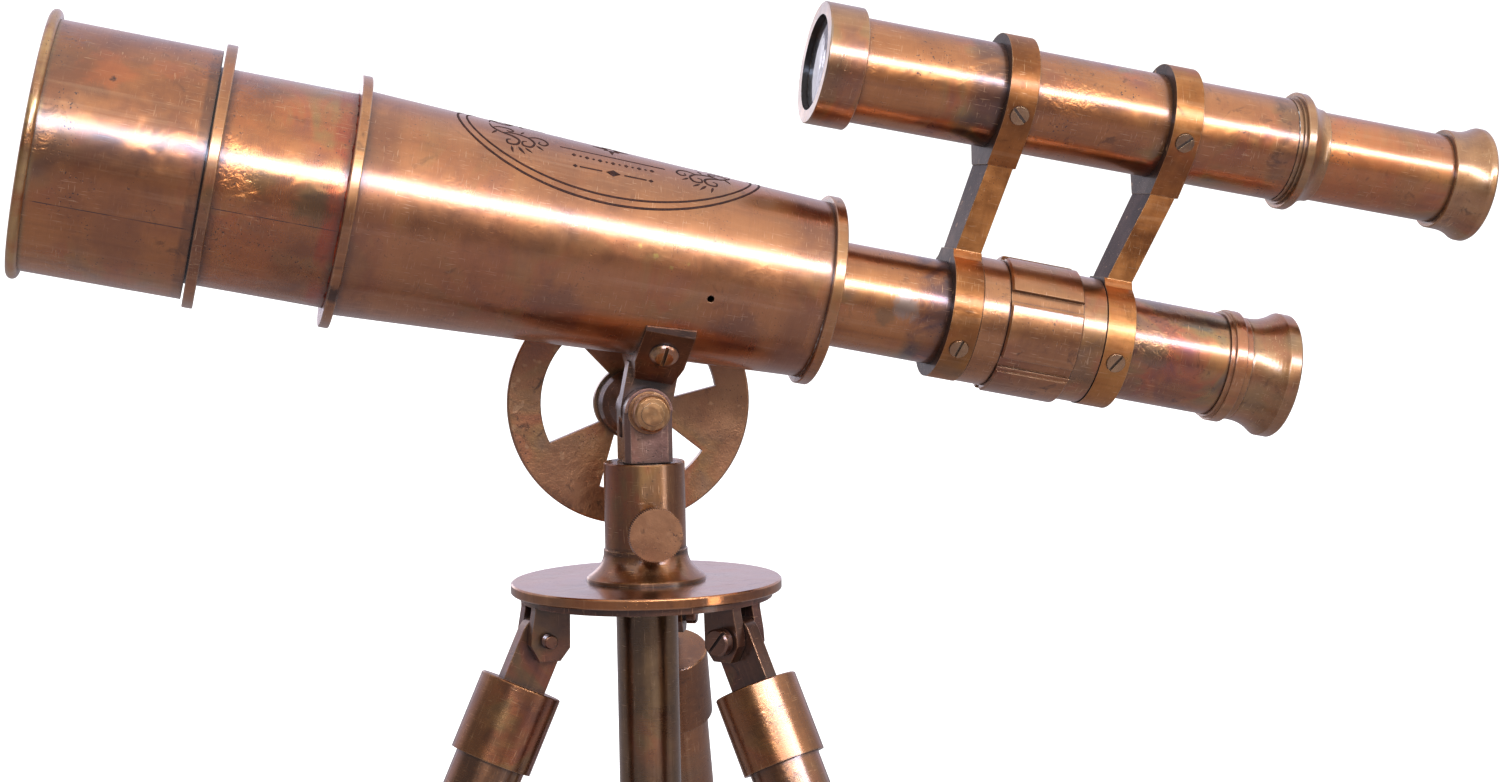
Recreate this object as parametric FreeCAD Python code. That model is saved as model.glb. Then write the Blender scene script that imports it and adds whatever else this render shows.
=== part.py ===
import FreeCAD, Part
import os
from math import sin, cos, tan, radians, degrees, sqrt, pi
from FreeCAD import Vector as V, Placement, Rotation

# Brass telescope with a finder on a table tripod.  Millimetres, +Z up, the
# telescope looks towards -X, its eyepiece is at +X, and Y runs across it.
# The whole model is first laid out about the tripod's column (x = y = 0, z = 0
# on top of the tripod plate) and then moved, so that the middle of its bounding
# box stands on the floor at the origin.

# ------------------------------------------------------------ driving sizes
COLUMN_X, COLUMN_Y = -49.05, -22.82  # column axis in the finished frame

TILT = 11.76                         # main tube points up by this at rest
AXIS_Z = 115.73                      # main axis above the plate, over the column
FINDER_TILT = 10.83                  # finder axis, very slightly flatter
FINDER_Z = 196.72                    # finder axis above the plate, over the column
PIVOT = V(0.4, 0, 61.0)              # tilt pivot above the plate

# main tube, s along its axis from over the column, positive to the eyepiece
TUBE_R = 37.8                        # 3 inch objective tube
WALL = 1.5
DEW_R, DEW_FRONT, DEW_BACK = 43.4, -213.8, -155.2
BODY_S0, BODY_R0 = -104.0, 39.6      # tapered body, big end
BODY_S1, BODY_R1 = 63.5, 32.0        # small end
DRAW_R, DRAW_BORE = 19.05, 17.6      # 1 1/2 inch draw tube
RING_W = 10.8                        # bracket rings, along the tube
LOW_S = (116.4, 174.7)               # lower bracket rings
TOP_S = (138.5, 201.4)               # upper bracket rings, on the finder
RING_LOW_R, RING_TOP_R = 23.5, 23.0
FIT = 0.06                           # running fit, radial

# tripod
PLATE_R, PLATE_T = 48.7, 3.8
CROWN_R, CROWN_T = 45.3, 2.6
STEM_R = 9.525                       # 3/4 inch stem
COLUMN_R = 11.1                      # 7/8 inch column tube
COLUMN_LEN = 150.0
LEG_AZ = (-48.0, 72.0, 192.0)        # front right, rear, front left
LEG_NAME = ("front_right", "rear", "front_left")
LEG_BETA = 25.0                      # from the vertical, opened to the stop
HINGE_R, HINGE_Z = 40.5, -18.0
FERRULE_R, FERRULE_0, FERRULE_1 = 14.8, 18.0, 46.5
LEG_R = 12.7                         # 1 inch leg tube
LOWER_R = 9.6
LEG_LEN = 430.0

os.makedirs("parts", exist_ok=True)
nodes = {}
X, Y, Z = V(1, 0, 0), V(0, 1, 0), V(0, 0, 1)


def place(shape, placement):
    s = shape.copy()
    s.Placement = placement.multiply(s.Placement)
    return s


MAIN = Placement(V(0, 0, AXIS_Z), Rotation(Y, TILT))
FINDER = Placement(V(0, 0, FINDER_Z), Rotation(Y, FINDER_TILT))


def turned(pts, placement=None):
    """Solid of revolution about X from (s, r) points."""
    w = Part.makePolygon([V(s, 0, r) for s, r in pts] + [V(pts[0][0], 0, pts[0][1])])
    f = Part.Face(w)
    b = f.revolve(V(0, 0, 0), X, 360)
    b = b if b.Volume > 0 else b.reversed()
    b = Part.makeSolid(b.Shells[0]) if b.ShapeType != "Solid" else b
    return place(b, placement) if placement else b


def turned_z(pts):
    """Solid of revolution about Z from (r, z) points."""
    w = Part.makePolygon([V(r, 0, z) for r, z in pts] + [V(pts[0][0], 0, pts[0][1])])
    f = Part.Face(w)
    b = f.revolve(V(0, 0, 0), Z, 360)
    return Part.makeSolid(b.Shells[0]) if b.ShapeType != "Solid" else b


def rod(p, d, r, length):
    return Part.makeCylinder(r, length, p, d)


def prism(pts, vec):
    w = Part.makePolygon(list(pts) + [pts[0]])
    return Part.Face(w).extrude(vec)


def cosine(n, s0, r0, s1, r1, bend):
    """Concave flare from (s0, r0) to (s1, r1): r grows as a power of the way."""
    out = []
    for i in range(n + 1):
        u = i / n
        out.append((s0 + (s1 - s0) * u, r0 + (r1 - r0) * u ** bend))
    return out


def slot_cut(centre, axis, across, width, depth, length):
    """Box that cuts a screwdriver slot into a head whose top is at centre."""
    n = axis.cross(across)
    b = Part.makeBox(length, width, depth * 2, V(-length / 2, -width / 2, -depth))
    m = FreeCAD.Matrix(across.x, n.x, axis.x, centre.x,
                       across.y, n.y, axis.y, centre.y,
                       across.z, n.z, axis.z, centre.z, 0, 0, 0, 1)
    return place(b, Placement(m))


# ------------------------------------------------------------ main tube
def body_r(s):
    return BODY_R0 + (BODY_R1 - BODY_R0) * (s - BODY_S0) / (BODY_S1 - BODY_S0)


# dew cap: a drawn tube whose front edge is rolled outwards into a bead
bead = [(-213.8 + 1.9 - 1.9 * cos(radians(a)), 44.7 + 1.9 * sin(radians(a))) for a in range(0, 181, 20)]
nodes["dew_cap"] = turned([(DEW_FRONT, 42.0)] + bead + [(-210.0, 43.4), (DEW_BACK, DEW_R), (DEW_BACK, 42.0)], MAIN)
nodes["objective_tube"] = turned([(-190.0, TUBE_R), (-96.0, TUBE_R), (-96.0, TUBE_R - WALL), (-190.0, TUBE_R - WALL)], MAIN)
nodes["stop_ring"] = turned([(-154.5, TUBE_R + 0.05), (-154.5, 45.7), (-154.2, 46.0), (-151.0, 46.0), (-150.7, 45.7),
                             (-150.7, TUBE_R + 0.05)], MAIN)
# objective cell: screwed over the front of the tube, its flange runs in the dew cap
nodes["objective_cell"] = turned([(-203.0, 36.4), (-203.0, 41.94), (-181.0, 41.94), (-181.0, TUBE_R + 0.05),
                                  (-190.2, TUBE_R + 0.05), (-190.2, 33.5), (-191.8, 33.5), (-191.8, 36.4)], MAIN)
nodes["objective_retaining_ring"] = turned([(-206.0, 34.0), (-206.0, 38.2), (-203.0, 38.2), (-203.0, 36.3), (-199.6, 36.3),
                                            (-199.6, 34.0)], MAIN)


def lens(s_front, s_back, r, bulge_front, bulge_back, placement, n=10):
    """Lens with edge faces at s_front / s_back; bulges are positive outwards."""
    pts = [(s_front - bulge_front, 0)]
    for i in range(1, n + 1):
        u = i / n
        pts.append((s_front - bulge_front * (1 - u * u), r * u))
    for i in range(n, 0, -1):
        u = i / n
        pts.append((s_back + bulge_back * (1 - u * u), r * u))
    pts.append((s_back + bulge_back, 0))
    return turned(pts, placement)


nodes["objective_crown_lens"] = lens(-199.3, -196.2, 36.2, 2.6, 1.1, MAIN)
nodes["objective_flint_lens"] = lens(-195.0, -191.9, 36.2, -1.15, 0.0, MAIN)

# front flange ring, soldered where the objective tube enters the tapered body
nodes["front_flange"] = turned([(-107.5, TUBE_R + 0.05), (-107.5, 44.2), (-107.2, 44.5), (-104.3, 44.5), (-104.0, 44.2),
                                (-104.0, TUBE_R + 0.05)], MAIN)

body = turned([(BODY_S0, BODY_R0), (BODY_S1, BODY_R1), (BODY_S1, BODY_R1 - WALL), (-92.0, body_r(-92.0) - WALL),
               (-92.0, TUBE_R + 0.1), (BODY_S0, TUBE_R + 0.1)])
# small empty tapped hole low on the near side of the body
_ph = radians(-17.0)
body = body.cut(rod(V(22.0, 0, 0), V(0, -cos(_ph), sin(_ph)), 1.25, 40.0))

# saddle: follows the underside of the body and ends in the tongue of the tilt pivot
SADDLE_S = (PIVOT.x) * cos(radians(TILT)) - (PIVOT.z - AXIS_Z) * sin(radians(TILT))
PIVOT_T = -(-(PIVOT.x) * sin(radians(TILT)) - (PIVOT.z - AXIS_Z) * cos(radians(TILT)))
SADDLE_HALF = 8.9
TONGUE_T, TONGUE_R = 8.0, 9.1
sec = [V(0, -26.2, -20.0), V(0, -26.2, -24.8), V(0, -9.0, -42.6), V(0, 9.0, -42.6), V(0, 26.2, -24.8), V(0, 26.2, -20.0)]
sad = prism([p + V(SADDLE_S - SADDLE_HALF, 0, 0) for p in sec], V(2 * SADDLE_HALF, 0, 0))
sad = sad.cut(turned([(-20, 0), (-20, body_r(-20) + 0.03), (40, body_r(40) + 0.03), (40, 0)]))
# front and rear lower corners of the saddle are cut away towards the tongue
for sg in (-1, 1):
    a = V(SADDLE_S + sg * 12, -40, -46), V(SADDLE_S + sg * 12, -40, -34.5), V(SADDLE_S + sg * 9.0, -40, -36.0), V(SADDLE_S + sg * 5.8, -40, -46)
    sad = sad.cut(prism(a, V(0, 80, 0)))
tong = Part.makeBox(2 * TONGUE_R, TONGUE_T, 53.2 - 37.0, V(SADDLE_S - TONGUE_R, -TONGUE_T / 2, PIVOT_T))
tong = tong.fuse(rod(V(SADDLE_S, -TONGUE_T / 2, PIVOT_T), Y, TONGUE_R, TONGUE_T))
tong = tong.cut(turned([(-20, 0), (-20, body_r(-20) + 0.03), (40, body_r(40) + 0.03), (40, 0)]))
sad = sad.fuse(tong).removeSplitter()
sad = sad.cut(rod(V(SADDLE_S, -10, PIVOT_T), Y, 4.03, 20))

# saddle screws: one through each ear, square to its sloping face
screws = []
for sg in (-1, 1):
    n = V(0, sg * 17.8, -17.2)
    n.normalize()                                   # outward normal of the sloping face
    c = V(SADDLE_S + 0.2, sg * 19.2, -24.8 - 7.0 * 17.8 / 17.2) + n * 0.02       # just proud of the sloping face
    shank = rod(c - n * 8.0, n, 2.0, 8.0)
    head = turned([(0, 0), (0, 5.0), (0.7, 5.15), (1.5, 4.6), (2.3, 3.2), (2.7, 0)])
    m = Placement(c, Rotation(X, n))
    head = place(head, m)
    s = shank.fuse(head)
    s = s.cut(slot_cut(c + n * 2.7, n, V(0, n.z, -n.y), 1.2, 1.5, 14))
    screws.append(s)
    hole = rod(c - n * 9.0, n, 2.05, 9.0)
    sad = sad.cut(hole)
    body = body.cut(hole)
nodes["saddle"] = place(sad, MAIN)
nodes["saddle_screws"] = place(Part.makeCompound(screws), MAIN)
nodes["body_tube"] = place(body, MAIN)

# rear flange closes the small end of the body and guides the draw tube
nodes["rear_flange"] = turned([(63.5, 34.1), (63.8, 34.4), (67.2, 34.4), (67.5, 34.1), (67.5, DRAW_R + FIT), (40.0, DRAW_R + FIT),
                               (40.0, 21.5), (60.0, 21.5), (60.0, 30.3), (63.5, 30.3)], MAIN)

# ------------------------------------------------------------ draw tube and eye end
draw = turned([(-25.0, DRAW_R), (219.0, DRAW_R), (219.0, DRAW_BORE), (-25.0, DRAW_BORE)])
# focusing barrel, fixed between the two bracket rings, with a waist for the focusing ring
LB0, LB1 = LOW_S[0] + RING_W / 2, LOW_S[1] - RING_W / 2
WAIST0, WAIST1 = 132.0, 160.0
barrel = turned([(LB0, DRAW_R + 0.03), (LB0, 22.9), (LB0 + 0.3, 23.15), (WAIST0, 23.15), (WAIST0, 21.4), (WAIST1, 21.4),
                 (WAIST1, 23.15), (LB1 - 0.3, 23.15), (LB1, 22.9), (LB1, DRAW_R + 0.03)])
# straight slot under the ring for the drive pin of the erector carrier
SLOT_LEN = 9.0
slot = Part.makeBox(SLOT_LEN + 3.2, 3.2, 8.0, V(146 - (SLOT_LEN + 3.2) / 2, -1.6, 16.0))
draw = draw.cut(slot)
barrel = barrel.cut(slot)
nodes["draw_tube"] = place(draw, MAIN)
nodes["focus_barrel"] = place(barrel, MAIN)

# focusing ring: six raised pads with stepped grooves between them
ring = turned([(WAIST0 + 0.15, 21.4 + FIT), (WAIST0 + 0.15, 24.2), (WAIST0 + 0.8, 25.0), (WAIST1 - 0.8, 25.0), (WAIST1 - 0.15, 24.2),
               (WAIST1 - 0.15, 21.4 + FIT)])
for k in range(6):
    a = 3.0 + 60 * k
    g = Part.makeBox(40, 4.4, 4.0, V(126, -2.2, 23.35))
    ring = ring.cut(place(g, Placement(V(0, 0, 0), Rotation(X, a))))
    g = Part.makeBox(40, 2.2, 4.0, V(126, -3.9, 24.1))
    ring = ring.cut(place(g, Placement(V(0, 0, 0), Rotation(X, a))))
nodes["focus_ring"] = place(ring, MAIN)

# erector carrier inside the draw tube, with its lenses and drive pin
CAR0, CAR1 = 128.0, 172.0
carrier = turned([(CAR0, 13.0), (CAR0, DRAW_BORE - FIT), (CAR1, DRAW_BORE - FIT), (CAR1, 13.0), (CAR1 - 1.4, 13.0), (CAR1 - 1.4, 15.6),
                  (CAR0 + 1.4, 15.6), (CAR0 + 1.4, 13.0)])
carrier = carrier.fuse(rod(V(146, 0, 16.4), Z, 1.5, 4.7))
nodes["erector_carrier"] = place(carrier, MAIN)
nodes["erector_lenses"] = place(Part.makeCompound([lens(CAR0 + 3.4, CAR0 + 5.4, 15.5, 1.8, 1.8, None),
                                                   lens(CAR1 - 5.4, CAR1 - 3.4, 15.5, 1.8, 1.8, None)]), MAIN)

# eye end ring, eyecup and lenses
nodes["eye_end_ring"] = turned([(219.05, 15.0), (219.05, 19.9), (220.4, 19.9), (220.8, 20.2), (220.8, 20.8), (221.1, 20.95), (225.0, 20.95),
                                (225.3, 20.7), (225.3, 19.35), (228.0, 19.35), (228.0, 15.0)], MAIN)
flare = cosine(10, 228.9, 19.25, 241.0, 23.05, 2.4)
nodes["eyecup"] = turned([(228.05, 13.9), (228.05, 19.0)] + flare + [(241.3, 23.2), (245.4, 23.2), (246.0, 22.7), (246.0, 21.6),
                                                                (243.5, 19.2), (239.5, 13.0), (238.0, 9.0), (236.0, 9.0), (236.0, 12.6),
                                                                (229.0, 13.9)], MAIN)
EYE = [lens(200.0, 202.6, 17.5, 3.4, 0.0, None), lens(230.8, 233.2, 12.6, 0.0, 2.0, None)]
nodes["eyepiece_lenses"] = place(Part.makeCompound(EYE), MAIN)

# ------------------------------------------------------------ finder
nodes["finder_bezel"] = turned([(66.1, 17.4), (66.1, 21.9), (66.4, 22.2), (80.1, 22.2), (80.4, 21.9), (80.4, DRAW_R + 0.03),
                                (72.25, DRAW_R + 0.03), (72.25, 18.25), (68.2, 18.25), (68.2, 17.4)], FINDER)
nodes["finder_tube"] = turned([(72.3, DRAW_R), (246.0, DRAW_R), (246.0, 17.8), (72.3, 17.8)], FINDER)
nodes["finder_objective_lens"] = lens(68.6, 71.6, 18.2, 1.2, 0.5, FINDER)
conc = [(252.4 + 7.0 * u / 8.0, 21.3 - 4.0 * (1 - (1 - u / 8.0) ** 2.2)) for u in range(0, 9)]
nodes["finder_end_collar"] = turned([(246.05, 16.6 + FIT), (246.05, 19.4), (247.6, 19.4), (247.6, 20.3), (248.6, 20.3), (248.6, 21.6),
                                     (248.9, 21.9), (251.6, 21.9)] + conc + [(259.4, 16.6 + FIT)], FINDER)
nodes["finder_draw_tube"] = turned([(205.0, 16.6), (311.6, 16.6), (311.6, 15.3), (205.0, 15.3)], FINDER)
fl = cosine(10, 313.2, 18.75, 322.0, 21.25, 2.2)
nodes["finder_eyecup"] = turned([(309.6, 16.63), (309.6, 18.3), (310.0, 18.7)] + fl + [(322.6, 21.45), (324.3, 21.45), (325.0, 21.0), (325.2, 20.2),
                                                                         (323.0, 17.0), (318.0, 10.0), (316.0, 8.0), (314.6, 8.0),
                                                                         (314.6, 11.6), (311.8, 11.6), (311.8, 16.63)], FINDER)
nodes["finder_eye_lens"] = place(lens(312.2, 314.0, 11.5, 0.0, 0.55, None), FINDER)

# ------------------------------------------------------------ brackets
DIFF = MAIN.inverse().multiply(FINDER)          # finder frame seen from the main tube's


def ring_screw(s, phi, ring_r, slot_deg):
    """Slotted screw sunk into a ring of outer radius ring_r, pointing inwards."""
    n = V(0, -cos(radians(phi)), sin(radians(phi)))
    tip = n * (DRAW_R + 0.15) + V(s, 0, 0)
    top = n * (ring_r + 0.55) + V(s, 0, 0)
    head_l = 1.7
    scr = rod(tip, n, 1.7, ring_r + 0.55 - DRAW_R - 0.15).fuse(rod(top - n * head_l, n, 3.4, head_l))
    across = X * cos(radians(slot_deg)) + n.cross(X) * sin(radians(slot_deg))
    scr = scr.cut(slot_cut(top, n, across, 0.95, 0.9, 10))
    cut = rod(n * (DRAW_R - 1.0) + V(s, 0, 0), n, 1.75, 10).fuse(rod(top - n * (head_l + 0.02), n, 3.45, 6))
    return scr, cut


bscrews = []
for k, nm in enumerate(("front_bracket", "rear_bracket")):
    ls, ts = LOW_S[k], TOP_S[k]
    # lower ring with flats that climb to the foot of the arm
    low = rod(V(ls - RING_W / 2, 0, 0), X, RING_LOW_R, RING_W)
    gable = prism([V(ls - RING_W / 2, y, z) for y, z in ((-22.95, 5.0), (-8.2, 24.0), (8.2, 24.0), (22.95, 5.0))], V(RING_W, 0, 0))
    low = low.fuse(gable)
    # upper ring, in the finder's frame
    top = rod(V(ts - RING_W / 2, 0, 0), X, RING_TOP_R, RING_W)
    gable = prism([V(ts - RING_W / 2, y, z) for y, z in ((-19.0, -12.96), (-10.2, -25.5), (10.2, -25.5), (19.0, -12.96))], V(RING_W, 0, 0))
    top = place(top.fuse(gable), DIFF)
    # arm: a straight taper, deeper across at the top
    a0 = V(ls, 0, 22.0)
    a1 = DIFF.multVec(V(ts, 0, -24.0))
    def rect(c, hx, hy):
        return Part.makePolygon([c + V(-hx, -hy, 0), c + V(hx, -hy, 0), c + V(hx, hy, 0), c + V(-hx, hy, 0), c + V(-hx, -hy, 0)])
    arm = Part.makeLoft([rect(a0, 4.8, 8.2), rect(a1, 4.7, 10.2)], True, True)
    br = low.fuse(arm).fuse(top)
    br = br.cut(rod(V(ls - 20, 0, 0), X, DRAW_R + 0.03, 40))
    br = br.cut(place(rod(V(ts - 20, 0, 0), X, DRAW_R + 0.03, 40), DIFF))
    # screws
    s1, c1 = ring_screw(ls, (-29.0, -15.0)[k], RING_LOW_R, (80, 60)[k])
    br = br.cut(c1)
    bscrews.append(s1)
    s2, c2 = ring_screw(ts, (-18.0, -15.0)[k], RING_TOP_R, (-40, 45)[k])
    br = br.cut(place(c2, DIFF))
    bscrews.append(place(s2, DIFF))
    nodes[nm] = place(br.removeSplitter(), MAIN)
nodes["bracket_screws"] = place(Part.makeCompound(bscrews), MAIN)

# ------------------------------------------------------------ yoke, stem and wheel
YOKE_X, YOKE_Y, YOKE_Z0 = 8.6, 11.4, 43.0
GAP = TONGUE_T / 2 + 0.25
yoke = Part.makeBox(2 * YOKE_X, 2 * YOKE_Y, PIVOT.z - YOKE_Z0, V(PIVOT.x - YOKE_X, -YOKE_Y, YOKE_Z0))
yoke = yoke.fuse(rod(V(PIVOT.x, -YOKE_Y, PIVOT.z), Y, YOKE_X, 2 * YOKE_Y)).removeSplitter()
# bevelled upright corners
for sx in (-1, 1):
    for sy in (-1, 1):
        cx, cy = PIVOT.x + sx * YOKE_X, sy * YOKE_Y
        yoke = yoke.cut(prism([V(cx, cy - sy * 2.4, 40), V(cx + sx * 2, cy - sy * 2.4, 40), V(cx + sx * 2, cy + sy * 2, 40),
                               V(cx - sx * 1.9, cy + sy * 2, 40), V(cx - sx * 1.9, cy, 40)], V(0, 0, 21.0)))
yoke = yoke.cut(Part.makeBox(60, 2 * GAP, 60, V(-30, -GAP, PIVOT.z - TONGUE_R - 0.45)))
yoke = yoke.cut(rod(V(PIVOT.x, -30, PIVOT.z), Y, 4.03, 60))
yoke = yoke.cut(rod(V(0, 0, 40), Z, 5.0 + FIT, 9.7))
nodes["yoke"] = yoke

PB = V(PIVOT.x, 0, PIVOT.z)
bolt = turned([(-20.3, 0), (-20.3, 4.0), (-19.9, 4.05), (-19.9, 5.6), (-19.2, 6.3), (-18.6, 6.5), (-12.6, 6.5), (-12.6, 3.97), (45.0, 3.97),
               (45.0, 0)])
BOLT = Placement(PB, Rotation(X, Y))
nodes["pivot_bolt"] = place(bolt, BOLT)
nodes["pivot_washer"] = turned([(-12.55, 4.05), (-12.55, 7.4), (-12.3, 7.6), (-11.45, 7.6), (-11.45, 4.05)], BOLT)
nodes["wheel_cap_nut"] = turned([(38.3, 4.0), (38.3, 7.2), (43.0, 7.2), (45.6, 6.0), (47.2, 3.6), (47.6, 0), (45.05, 0), (45.05, 4.0)], BOLT)
nodes["wheel_hub"] = turned([(11.9, 4.03), (11.9, 7.4), (20.0, 7.4), (22.5, 9.4), (26.0, 11.3), (30.0, 12.1), (34.35, 12.1), (34.35, 4.03)], BOLT)

# hand wheel: flat disc with three windows; the spokes widen towards the rim
WH_R, WH_CUT, WH_Y0, WH_T = 45.3, 33.0, 34.4, 3.6
wheel = turned([(WH_Y0, 4.03), (WH_Y0, WH_R - 0.6), (WH_Y0 + 0.6, WH_R), (WH_Y0 + WH_T - 0.6, WH_R), (WH_Y0 + WH_T, WH_R - 0.6), (WH_Y0 + WH_T, 4.03)], BOLT)
for c in (-73.0, 167.0, 47.0):
    p = lambda r, a: V(PB.x + r * cos(radians(a)), 0, PB.z + r * sin(radians(a)))
    i0, i1, o0, o1 = p(13.2, c - 44), p(13.2, c + 44), p(WH_CUT, c - 38), p(WH_CUT, c + 38)
    edges = [Part.Arc(o0, p(WH_CUT, c), o1).toShape(), Part.makeLine(o1, i1), Part.Arc(i1, p(13.2, c), i0).toShape(), Part.makeLine(i0, o0)]
    win = Part.Face(Part.Wire(edges)).extrude(V(0, 60, 0))
    wheel = wheel.cut(win)
nodes["hand_wheel"] = wheel

stem = rod(V(0, 0, -92.0), Z, STEM_R, 92.0 + YOKE_Z0).fuse(rod(V(0, 0, YOKE_Z0), Z, 5.0, 6.5)).removeSplitter()
nodes["stem"] = stem

# pedestal: turned sleeve on a bell foot
bell = [(21.4, 0.0), (21.4, 1.2), (20.9, 1.7)]
for i in range(0, 11):
    u = i / 10.0
    bell.append((20.6 - (20.6 - 15.1) * (1 - (1 - u) ** 2.3), 1.9 + (10.6 - 1.9) * u))
ped = turned_z([(STEM_R + FIT, 0.0)] + bell + [(15.1, 11.2), (14.6, 11.4), (14.6, 42.2), (14.3, 42.6), (STEM_R + FIT, 42.6)])
KNOB_Z = 18.7
ped = ped.cut(rod(V(0, 0, KNOB_Z), V(0, -1, 0), 3.06, 30))
nodes["pedestal"] = ped

# clamp screw: knurled head facing the front
knob_pts = []
NK = 72
for i in range(NK):
    a = 2 * pi * i / NK
    knob_pts.append(V(9.75 * cos(a), 0, 9.75 * sin(a)))
    a = 2 * pi * (i + 0.5) / NK
    knob_pts.append(V(9.15 * cos(a), 0, 9.15 * sin(a)))
knob = prism([p + V(0, -24.4, KNOB_Z) for p in knob_pts], V(0, 4.6, 0))
knob = knob.fuse(rod(V(0, -19.9, KNOB_Z), Y, 5.4, 4.9))
knob = knob.fuse(rod(V(0, -15.2, KNOB_Z), Y, 3.0, 15.2 - STEM_R - 0.12)).removeSplitter()
nodes["clamp_screw"] = knob

# ------------------------------------------------------------ tripod head
plate = turned_z([(STEM_R + FIT, -PLATE_T), (STEM_R + FIT, 0), (PLATE_R - 0.5, 0), (PLATE_R, -0.5), (PLATE_R, -PLATE_T + 0.4), (PLATE_R - 0.4, -PLATE_T)])
crown = turned_z([(COLUMN_R + 0.05, -PLATE_T - CROWN_T), (COLUMN_R + 0.05, -PLATE_T), (CROWN_R, -PLATE_T), (CROWN_R, -PLATE_T - CROWN_T)])
EAR_T, EAR_GAP, TONG = 4.6, 6.6, 6.0
bolts, cscrews = [], []
for az in LEG_AZ:
    R = Placement(V(0, 0, 0), Rotation(Z, az))      # local: x radial, y along the hinge bolt
    for sg in (-1, 1):
        y0 = EAR_GAP / 2 if sg > 0 else -EAR_GAP / 2 - EAR_T
        out = [V(32.0, y0, -PLATE_T - CROWN_T + 0.3), V(44.9, y0, -PLATE_T - CROWN_T + 0.3), V(44.9, y0, -PLATE_T - CROWN_T - 1.0),
               V(46.3, y0, -15.0), V(46.7, y0, -19.5), V(43.5, y0, -25.5), V(36.0, y0, -25.5), V(32.3, y0, -21.0)]
        crown = crown.fuse(place(prism(out, V(0, EAR_T, 0)), R))
    hole = place(rod(V(HINGE_R, -20, HINGE_Z), Y, 2.56, 40), R)
    crown = crown.cut(hole)
    w = EAR_GAP / 2 + EAR_T
    # slotted bolt with a thick head; its far end shows a few turns of thread beyond the tapped ear
    prof = [(-4.6, 0), (-4.6, 4.3), (-4.0, 4.9), (-0.9, 4.9), (-0.9, 3.9), (-0.02, 3.9), (-0.02, 2.5), (2 * w, 2.5)]
    for k in range(4):
        prof += [(2 * w + 0.35 + 0.8 * k, 2.5), (2 * w + 0.55 + 0.8 * k, 2.1), (2 * w + 0.95 + 0.8 * k, 2.1)]
    prof += [(2 * w + 3.5, 2.5), (2 * w + 4.0, 2.1), (2 * w + 4.0, 0)]
    b = turned(prof, Placement(V(HINGE_R, -w, HINGE_Z), Rotation(X, Y)))
    b = b.cut(slot_cut(V(HINGE_R, -w - 4.6, HINGE_Z), V(0, -1, 0), V(cos(radians(50)), 0, sin(radians(50))), 1.2, 1.4, 14))
    bolts.append(place(b, R))
    # screw that holds the crown to the plate, half way between the legs
    R2 = Placement(V(0, 0, 0), Rotation(Z, az + 60))
    sc = rod(V(28, 0, -PLATE_T - CROWN_T), Z, 2.0, CROWN_T + 2.4).fuse(rod(V(28, 0, -PLATE_T - CROWN_T - 2.4), Z, 3.8, 2.4))
    sc = sc.cut(slot_cut(V(28, 0, -PLATE_T - CROWN_T - 2.4), V(0, 0, -1), V(1, 0, 0), 1.0, 1.2, 12))
    cscrews.append(place(sc, R2))
    crown = crown.cut(place(rod(V(28, 0, -20), Z, 2.05, 20), R2))
    plate = plate.cut(place(rod(V(28, 0, -PLATE_T - 1), Z, 2.05, 1 + 2.6), R2))
nodes["tripod_plate"] = plate
nodes["leg_crown"] = crown.removeSplitter()
nodes["hinge_bolts"] = Part.makeCompound(bolts)
nodes["crown_screws"] = Part.makeCompound(cscrews)
z1 = -PLATE_T - COLUMN_LEN
nodes["centre_column"] = turned_z([(STEM_R + FIT, -PLATE_T - 0.02), (COLUMN_R, -PLATE_T - 0.02), (COLUMN_R, z1 + 6.0), (12.6, z1 + 5.4), (12.6, z1 + 1.6), (11.6, z1),
              (0, z1), (0, z1 + 5.0), (STEM_R + FIT, z1 + 5.0)])

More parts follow.
